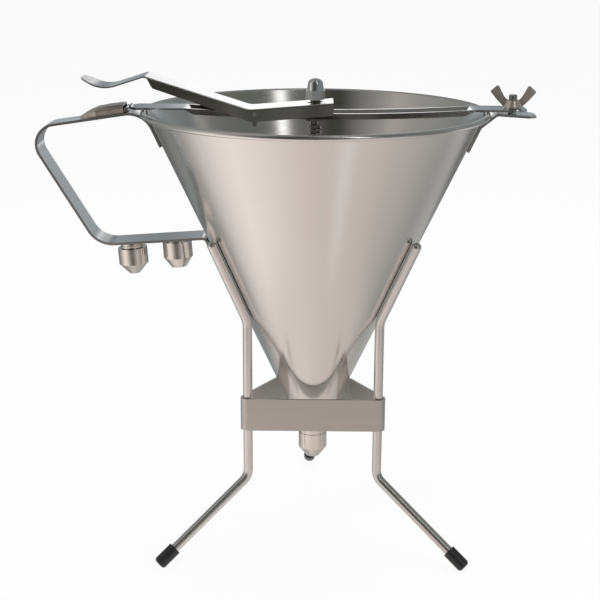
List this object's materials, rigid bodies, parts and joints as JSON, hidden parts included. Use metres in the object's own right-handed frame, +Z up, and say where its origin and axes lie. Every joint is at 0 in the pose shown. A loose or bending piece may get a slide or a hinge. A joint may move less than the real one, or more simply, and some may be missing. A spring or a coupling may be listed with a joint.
{
  "type": "pancake batter dispenser",
  "caption": "Steel funnel with a thumb lever that lifts a sprung plunger off the spout, in a stand of bent rods.",
  "frame": {"origin": "centre of the mounted nozzle's outlet mouth", "axes": "+Z up along the funnel's axis, -X towards the handle, +X towards the wing nut, -Y towards the camera"},
  "size_m": [0.2902, 0.2172, 0.2878],
  "materials": {
    "cone_steel": "satin inside and out, drawn round the cone",
    "polished_steel": "polished sheet",
    "handle_steel": "satin strip",
    "rod_steel": "drawn rod, brushed",
    "collar_steel": "matt strip",
    "turned_steel": "turned and polished",
    "dark_steel": "spring wire and small fittings",
    "seal_rubber": "soft pale sealing ring",
    "cap_rubber": "smooth black end cap"
  },
  "bodies": {
    "stand": {"collar_band": "collar_steel", "leg_front_left": "rod_steel", "leg_front_right": "rod_steel", "leg_rear": "rod_steel", "foot_cap_front_left": "cap_rubber", "foot_cap_front_right": "cap_rubber", "foot_cap_rear": "cap_rubber"},
    "funnel": {"cone_body": "cone_steel", "rim_bead": "cone_steel", "spout": "turned_steel", "handle_strip": "handle_steel", "latch_hood": "polished_steel", "hook_pin": "turned_steel", "outer_boss": "turned_steel", "inner_boss": "turned_steel", "wing_nut_bracket": "polished_steel", "clamp_stud": "turned_steel", "bridge_bar": "polished_steel", "hinge_block": "turned_steel", "spring_washer": "turned_steel"},
    "thumb_lever": {"lever": "polished_steel", "pivot_pin": "turned_steel"},
    "plunger": {"plunger_rod": "turned_steel", "acorn_nut": "turned_steel", "spring_collar": "turned_steel", "retaining_ring": "dark_steel", "plug": "turned_steel", "return_spring": "dark_steel"},
    "washer": {"clamp_washer": "turned_steel"},
    "wing": {"wing_nut": "turned_steel"},
    "mounted_seal": {"mounted_nozzle_seal": "seal_rubber"},
    "mounted": {"mounted_nozzle": "turned_steel"},
    "outer_seal": {"outer_spare_nozzle_seal": "seal_rubber"},
    "outer_spare": {"outer_spare_nozzle": "turned_steel"},
    "inner_seal": {"inner_spare_nozzle_seal": "seal_rubber"},
    "inner_spare": {"inner_spare_nozzle": "turned_steel"}
  },
  "joints": [
    {"name": "funnel_lift", "type": "slide", "parent": "stand", "child": "funnel", "axis": [0, 0, 1], "range_m": [0, 0.15]},
    {"name": "lever_pivot", "type": "hinge", "parent": "funnel", "child": "thumb_lever", "pos_m": [-0.0348, 0, 0.2143], "axis": [0, -1, 0], "range_deg": [0, 6.1]},
    {"name": "plunger_lift", "type": "slide", "parent": "funnel", "child": "plunger", "axis": [0, 0, 1], "range_m": [0, 0.0033], "stiffness_N_per_m": 800, "springref_m": -0.008, "deforming": ["return_spring"]},
    {"name": "washer_lift", "type": "slide", "parent": "funnel", "child": "washer", "axis": [0, 0, 1], "range_m": [0, 0.0016]},
    {"name": "wing_nut_turn", "type": "hinge", "parent": "washer", "child": "wing", "pos_m": [0.1145, 0, 0.21805], "axis": [0, 0, 1], "range_deg": [-5, 725]},
    {"name": "mounted_nozzle_slide", "type": "slide", "parent": "funnel", "child": "mounted_seal", "axis": [0, 0, -1], "range_m": [0, 0.0045]},
    {"name": "mounted_nozzle_turn", "type": "hinge", "parent": "mounted_seal", "child": "mounted", "pos_m": [0, 0, 0.008], "axis": [0, 0, -1], "range_deg": [-5, 1085]},
    {"name": "outer_nozzle_slide", "type": "slide", "parent": "funnel", "child": "outer_seal", "axis": [0.0698, 0, -0.9976], "range_m": [-0.0015, 0.003]},
    {"name": "outer_nozzle_turn", "type": "hinge", "parent": "outer_seal", "child": "outer_spare", "pos_m": [-0.1093, 0, 0.13665], "axis": [0.0698, 0, -0.9976], "range_deg": [-365, 725]},
    {"name": "inner_nozzle_slide", "type": "slide", "parent": "funnel", "child": "inner_seal", "axis": [0.0698, 0, -0.9976], "range_m": [0, 0.0045]},
    {"name": "inner_nozzle_turn", "type": "hinge", "parent": "inner_seal", "child": "inner_spare", "pos_m": [-0.0823, 0, 0.13853], "axis": [0.0698, 0, -0.9976], "range_deg": [-5, 1085]}
  ],
  "couplings": [
    {"joint": "lever_pivot", "follows": "plunger_lift", "rad_per_m": 31.746},
    {"joint": "wing_nut_turn", "follows": "washer_lift", "rad_per_m": 7854},
    {"joint": "mounted_nozzle_turn", "follows": "mounted_nozzle_slide", "rad_per_m": 4188.8},
    {"joint": "outer_nozzle_turn", "follows": "outer_nozzle_slide", "rad_per_m": 4188.8},
    {"joint": "inner_nozzle_turn", "follows": "inner_nozzle_slide", "rad_per_m": 4188.8}
  ]
}
